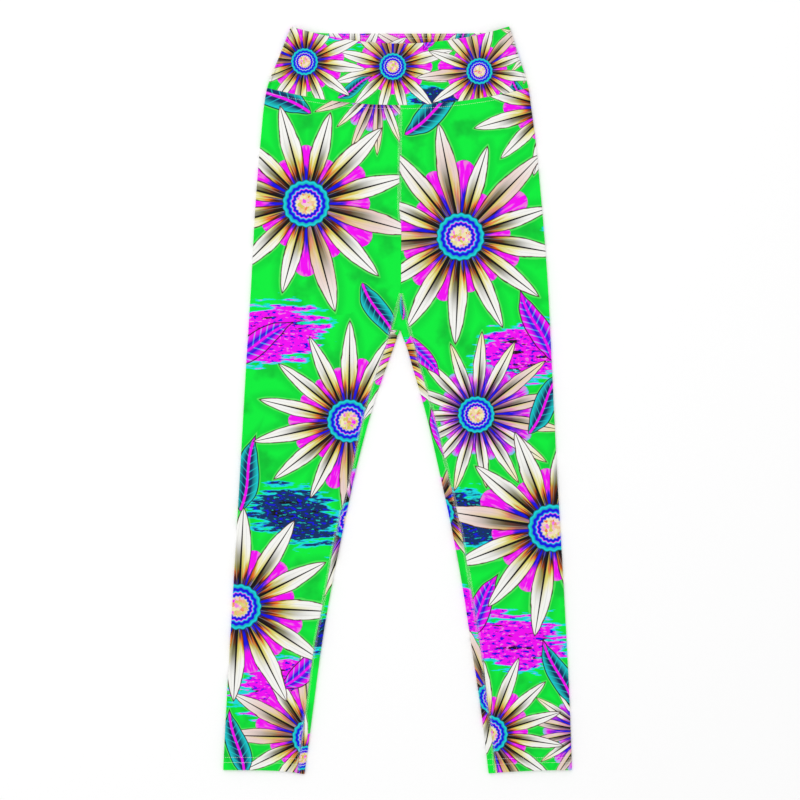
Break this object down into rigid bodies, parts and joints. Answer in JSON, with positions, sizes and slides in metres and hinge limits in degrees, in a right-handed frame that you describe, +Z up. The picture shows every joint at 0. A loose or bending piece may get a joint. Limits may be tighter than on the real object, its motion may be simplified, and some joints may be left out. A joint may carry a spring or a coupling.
{
  "type": "leggings",
  "caption": "High-waisted full-length knitted leggings with a deep curved waistband and a crotch gusset, laid flat with the front up.",
  "frame": {"origin": "middle of the bounding box's bottom face: the surface that the leggings lie on is z = 0", "axes": "+X across the garment to the wearer's left, +Y along it from the hems to the waist, +Z up out of the front"},
  "size_m": [0.4435, 0.95, 0.006],
  "materials": {
    "legs": "matte printed knit",
    "waistband": "matte printed knit"
  },
  "bodies": {
    "root": {"leg_right": "legs", "leg_left": "legs", "gusset": "legs", "waistband_front": "waistband", "waistband_back": "waistband", "waistband_facing": "waistband"}
  },
  "joints": []
}
